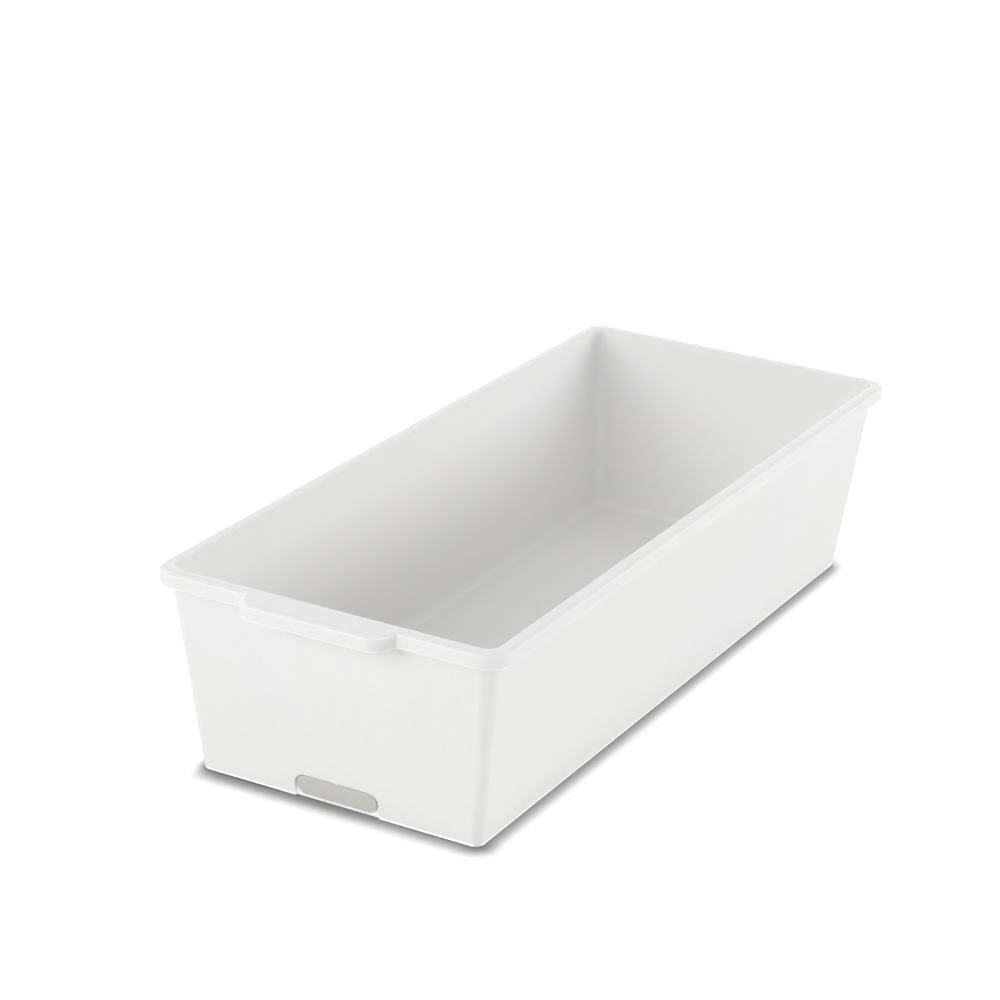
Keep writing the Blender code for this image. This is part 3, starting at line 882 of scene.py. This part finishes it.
def white_polypropylene():
    """Opaque white: fine matte texture on the walls and band, satin inside, polished along the rim, and
    a painted highlight on some thin edges, which turn whiter and glow a little though they are no lamp."""
    material, writer = new_material("white_polypropylene")
    place = writer.add("ShaderNodeTexCoord").outputs["Object"]
    finish = writer.add("ShaderNodeAttribute", {"attribute_name": "smoothness"}).outputs["Fac"]
    smooth = writer.math("MINIMUM", finish, POLISHED)
    # The share of the mark above 1 is painted highlight and glow, not a finish
    edge = writer.math("MAXIMUM", writer.math("SUBTRACT", finish, POLISHED), 0.0)
    mottle = placed_group(writer, FLOW_MOTTLE, Vector=place, Patch_Size=GLOSS_PATCH)
    grain = placed_group(writer, MOULD_GRAIN, Vector=place, Grain_Size=WALL_GRAIN,
                         Coarse_Share=WALL_COARSE_SHARE)
    textured = writer.math("ADD", WALL_ROUGHNESS, writer.math("MULTIPLY", mottle, WALL_ROUGHNESS_SPREAD))
    roughness = writer.between(smooth, textured, POLISHED_ROUGHNESS)
    kept_grain = writer.one_less(writer.math("MULTIPLY", smooth, POLISHED_GRAIN_LOSS))
    bump = writer.add("ShaderNodeBump", Height=writer.math("MULTIPLY", grain, kept_grain),
                      Strength=BUMP_STRENGTH, Distance=WALL_GRAIN_DEPTH).outputs[0]
    slow = placed_group(writer, FLOW_MOTTLE, Vector=place, Patch_Size=TINT_PATCH)
    wall = writer.blended(slow, WALL_COOL, WALL_WARM)
    swing = writer.math("MULTIPLY", writer.math("SUBTRACT", grain, MIDDLE_GRAIN), GRAIN_SHADE)
    speck = writer.math("ADD", 1.0, writer.math("MULTIPLY", swing, writer.one_less(smooth)))
    # Painted highlight: marked edges turn whiter and glow by the same share
    colour = writer.blended(edge, writer.scaled(wall, speck), PAINTED_HIGHLIGHT_WHITE)
    painted_glow = writer.add("ShaderNodeCombineColor", Red=edge, Green=edge, Blue=edge).outputs[0]
    shader = writer.add("ShaderNodeBsdfPrincipled", Base_Color=colour, Roughness=roughness, Normal=bump,
                        IOR=PLASTIC_IOR, Emission_Color=painted_glow, Emission_Strength=PAINTED_GLOW_STRENGTH)
    writer.add("ShaderNodeOutputMaterial", Surface=shader.outputs[0])
    return material


def soft_rubber(name, colour, roughness, grain_size, depth):
    """Matte soft rubber with its own finer skin, and painted shade on the sides that the smoothness mark
    picks out.
    """
    material, writer = new_material(name)
    place = writer.add("ShaderNodeTexCoord").outputs["Object"]
    mottle = placed_group(writer, FLOW_MOTTLE, Vector=place, Patch_Size=RUBBER_PATCH)
    grain = placed_group(writer, MOULD_GRAIN, Vector=place, Grain_Size=grain_size,
                         Coarse_Share=RUBBER_COARSE_SHARE)
    uneven = writer.math("ADD", roughness, writer.math("MULTIPLY", mottle, RUBBER_ROUGHNESS_SPREAD))
    bump = writer.add("ShaderNodeBump", Height=grain, Strength=BUMP_STRENGTH, Distance=depth).outputs[0]
    # Painted shade: marked sides take a darker copy of the colour
    side = writer.add("ShaderNodeAttribute", {"attribute_name": "smoothness"}).outputs["Fac"]
    face = tinted(writer, colour, RUBBER_DARK_PATCH, 1.0, mottle)
    painted_shade_colour = (*[channel * RUBBER_PAINTED_SIDE_SHADE for channel in colour], 1.0)
    shader = writer.add("ShaderNodeBsdfPrincipled", Base_Color=writer.blended(side, face, painted_shade_colour),
                        Roughness=uneven, Normal=bump, IOR=RUBBER_IOR)
    writer.add("ShaderNodeOutputMaterial", Surface=shader.outputs[0])
    return material


def seen_directly(writer):
    """1 for a ray of the camera, or one that reaches the eye through a reflection or through glass."""
    path = writer.add("ShaderNodeLightPath").outputs
    seen = writer.math("MAXIMUM", path["Is Camera Ray"], path["Is Glossy Ray"])
    return writer.math("MAXIMUM", seen, path["Is Transmission Ray"])


def studio_floor():
    """Pale paper that looks white in the open and keeps the shadow of what stands on it.

    The shadow, as it is seen, is partly real, cast on a darker paper, and partly painted: a white glow that
    fades where the paper is less open to the sky close to the bin, by limits that change along the bin."""
    material, writer = new_material("studio_paper")
    place = writer.add("ShaderNodeTexCoord").outputs["Object"]
    parts = writer.add("ShaderNodeSeparateXYZ", Vector=place).outputs
    across, along = parts["X"], parts["Y"]
    beside = writer.ramp(across, SIDE_FROM, SIDE_TO, kind="SMOOTHSTEP")
    past_left = writer.ramp(across, LEFT_END_FROM, LEFT_END_TO, kind="SMOOTHSTEP")
    past_side = writer.ramp(across, CORNER_ACROSS_FROM, CORNER_ACROSS_TO, kind="SMOOTHSTEP")
    past_front = writer.ramp(along, CORNER_ALONG_FROM, CORNER_ALONG_TO, kind="SMOOTHSTEP")
    at_corner = writer.math("MULTIPLY", past_side, past_front)
    shift = writer.ramp(across, FRONT_FROM, FRONT_TO, LEFT_SHIFT, RIGHT_SHIFT)

    def limit(front, side, left_end, corner):
        """An openness that changes from the front to the side, the left end and the near corner."""
        value = writer.math("ADD", writer.between(beside, front, side), shift)
        value = writer.between(past_left, value, left_end)
        return writer.between(at_corner, value, corner)

    shut = limit(FRONT_SHUT, SIDE_SHUT, LEFT_END_SHUT, CORNER_SHUT)
    clear = limit(FRONT_CLEAR, SIDE_CLEAR, LEFT_END_CLEAR, CORNER_CLEAR)
    near = writer.add("ShaderNodeAmbientOcclusion", {"samples": SHADOW_SAMPLES},
                      Distance=SHADOW_REACH).outputs["AO"]
    open_share = writer.ramp(near, shut, clear, kind="SMOOTHSTEP")
    deep = writer.ramp(across, DEPTH_FROM, DEPTH_TO, LEFT_LIFT, RIGHT_LIFT)
    deep = writer.between(at_corner, deep, CORNER_LIFT)
    lift = writer.between(open_share, deep, OPEN_LIFT)
    paper = writer.add("ShaderNodeBsdfDiffuse", Color=OPEN_PAPER).outputs[0]
    shaded_paper = writer.add("ShaderNodeBsdfDiffuse", Color=SHADED_PAPER).outputs[0]
    painted_glow = writer.add("ShaderNodeEmission", Color=PLAIN_WHITE, Strength=lift).outputs[0]
    both = writer.add("ShaderNodeAddShader", n0=shaded_paper, n1=painted_glow).outputs[0]
    mix = writer.add("ShaderNodeMixShader", n0=seen_directly(writer), n1=paper, n2=both).outputs[0]
    writer.add("ShaderNodeOutputMaterial", Surface=mix)
    return material


def make_floor():
    mesh = bpy.data.meshes.new("studio_floor")
    corners = [(x * PAPER_REACH, y * PAPER_REACH, 0) for x, y in ((-1, -1), (1, -1), (1, 1), (-1, 1))]
    mesh.from_pydata(corners, [], [(0, 1, 2, 3)])
    mesh.materials.append(studio_floor())
    item = linked("studio_floor", mesh)


def make_world():
    """A soft sky, lighter near the horizon, which the camera sees as plain white."""
    world = bpy.data.worlds.new("studio_light")
    world.use_nodes = True
    world.node_tree.nodes.clear()
    writer = TreeWriter(world.node_tree)
    direction = writer.add("ShaderNodeTexCoord").outputs["Generated"]
    height = writer.add("ShaderNodeSeparateXYZ", Vector=direction).outputs["Z"]
    level = writer.ramp(height, 0.0, 1.0, AMBIENT_LOW, AMBIENT_TOP)
    light = writer.add("ShaderNodeBackground", Color=PLAIN_WHITE, Strength=level).outputs[0]
    white = writer.add("ShaderNodeBackground", Color=PLAIN_WHITE, Strength=1.0).outputs[0]
    mix = writer.add("ShaderNodeMixShader", n0=seen_directly(writer), n1=light, n2=white).outputs[0]
    writer.add("ShaderNodeOutputWorld", Surface=mix)
    bpy.context.scene.world = world


def make_soft_box(name, place, width, height, power):
    data = bpy.data.lights.new(name, "AREA")
    data.shape = "RECTANGLE"
    data.size = width
    data.size_y = height
    data.energy = power
    item = linked(name, data)
    item.location = place
    item.rotation_euler = (BOX_AIM - Vector(place)).to_track_quat("-Z", "Y").to_euler()
    item.visible_camera = False


def make_camera():
    back = Vector((sin(AZIMUTH) * cos(ELEVATION), -cos(AZIMUTH) * cos(ELEVATION), sin(ELEVATION)))
    level = Vector((cos(AZIMUTH), sin(AZIMUTH), 0))
    upright = back.cross(level)
    right = level * cos(ROLL) + upright * sin(ROLL)
    up = upright * cos(ROLL) - level * sin(ROLL)
    data = bpy.data.cameras.new("camera")
    data.lens = LENS
    data.sensor_width = SENSOR
    data.clip_end = CAMERA_FAR
    turn = Matrix((right, up, back)).transposed().to_4x4()
    item = linked("camera", data)
    item.matrix_world = Matrix.Translation(AIM + back * DISTANCE) @ turn
    bpy.context.scene.camera = item


clear_default_objects()
SECTION_SWEEP = section_sweep_tree()
SET_OF_PIECES = set_of_pieces_tree()
MOULD_GRAIN = mould_grain_group()
FLOW_MOTTLE = flow_mottle_group()
WHITE = white_polypropylene()
BADGE_GREY = soft_rubber("soft_grey_badge", BADGE_COLOUR, BADGE_ROUGHNESS, BADGE_GRAIN, BADGE_GRAIN_DEPTH)
PAD_GREY = soft_rubber("soft_grey_pad", PAD_COLOUR, PAD_ROUGHNESS, PAD_GRAIN, PAD_GRAIN_DEPTH)

shell = make_shell()
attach(shell, "root")
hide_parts("bin_shell")

badge = make_badge()
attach(badge, "root")
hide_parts("badge_insert")

pads = make_pads()
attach(pads, "root")
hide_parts("foot_pad_front_left", "foot_pad_front_right", "foot_pad_back_left", "foot_pad_back_right")

make_floor()
make_world()
for soft_box in SOFT_BOXES:
    make_soft_box(*soft_box)
make_camera()
bpy.context.scene.view_settings.view_transform = "Standard"
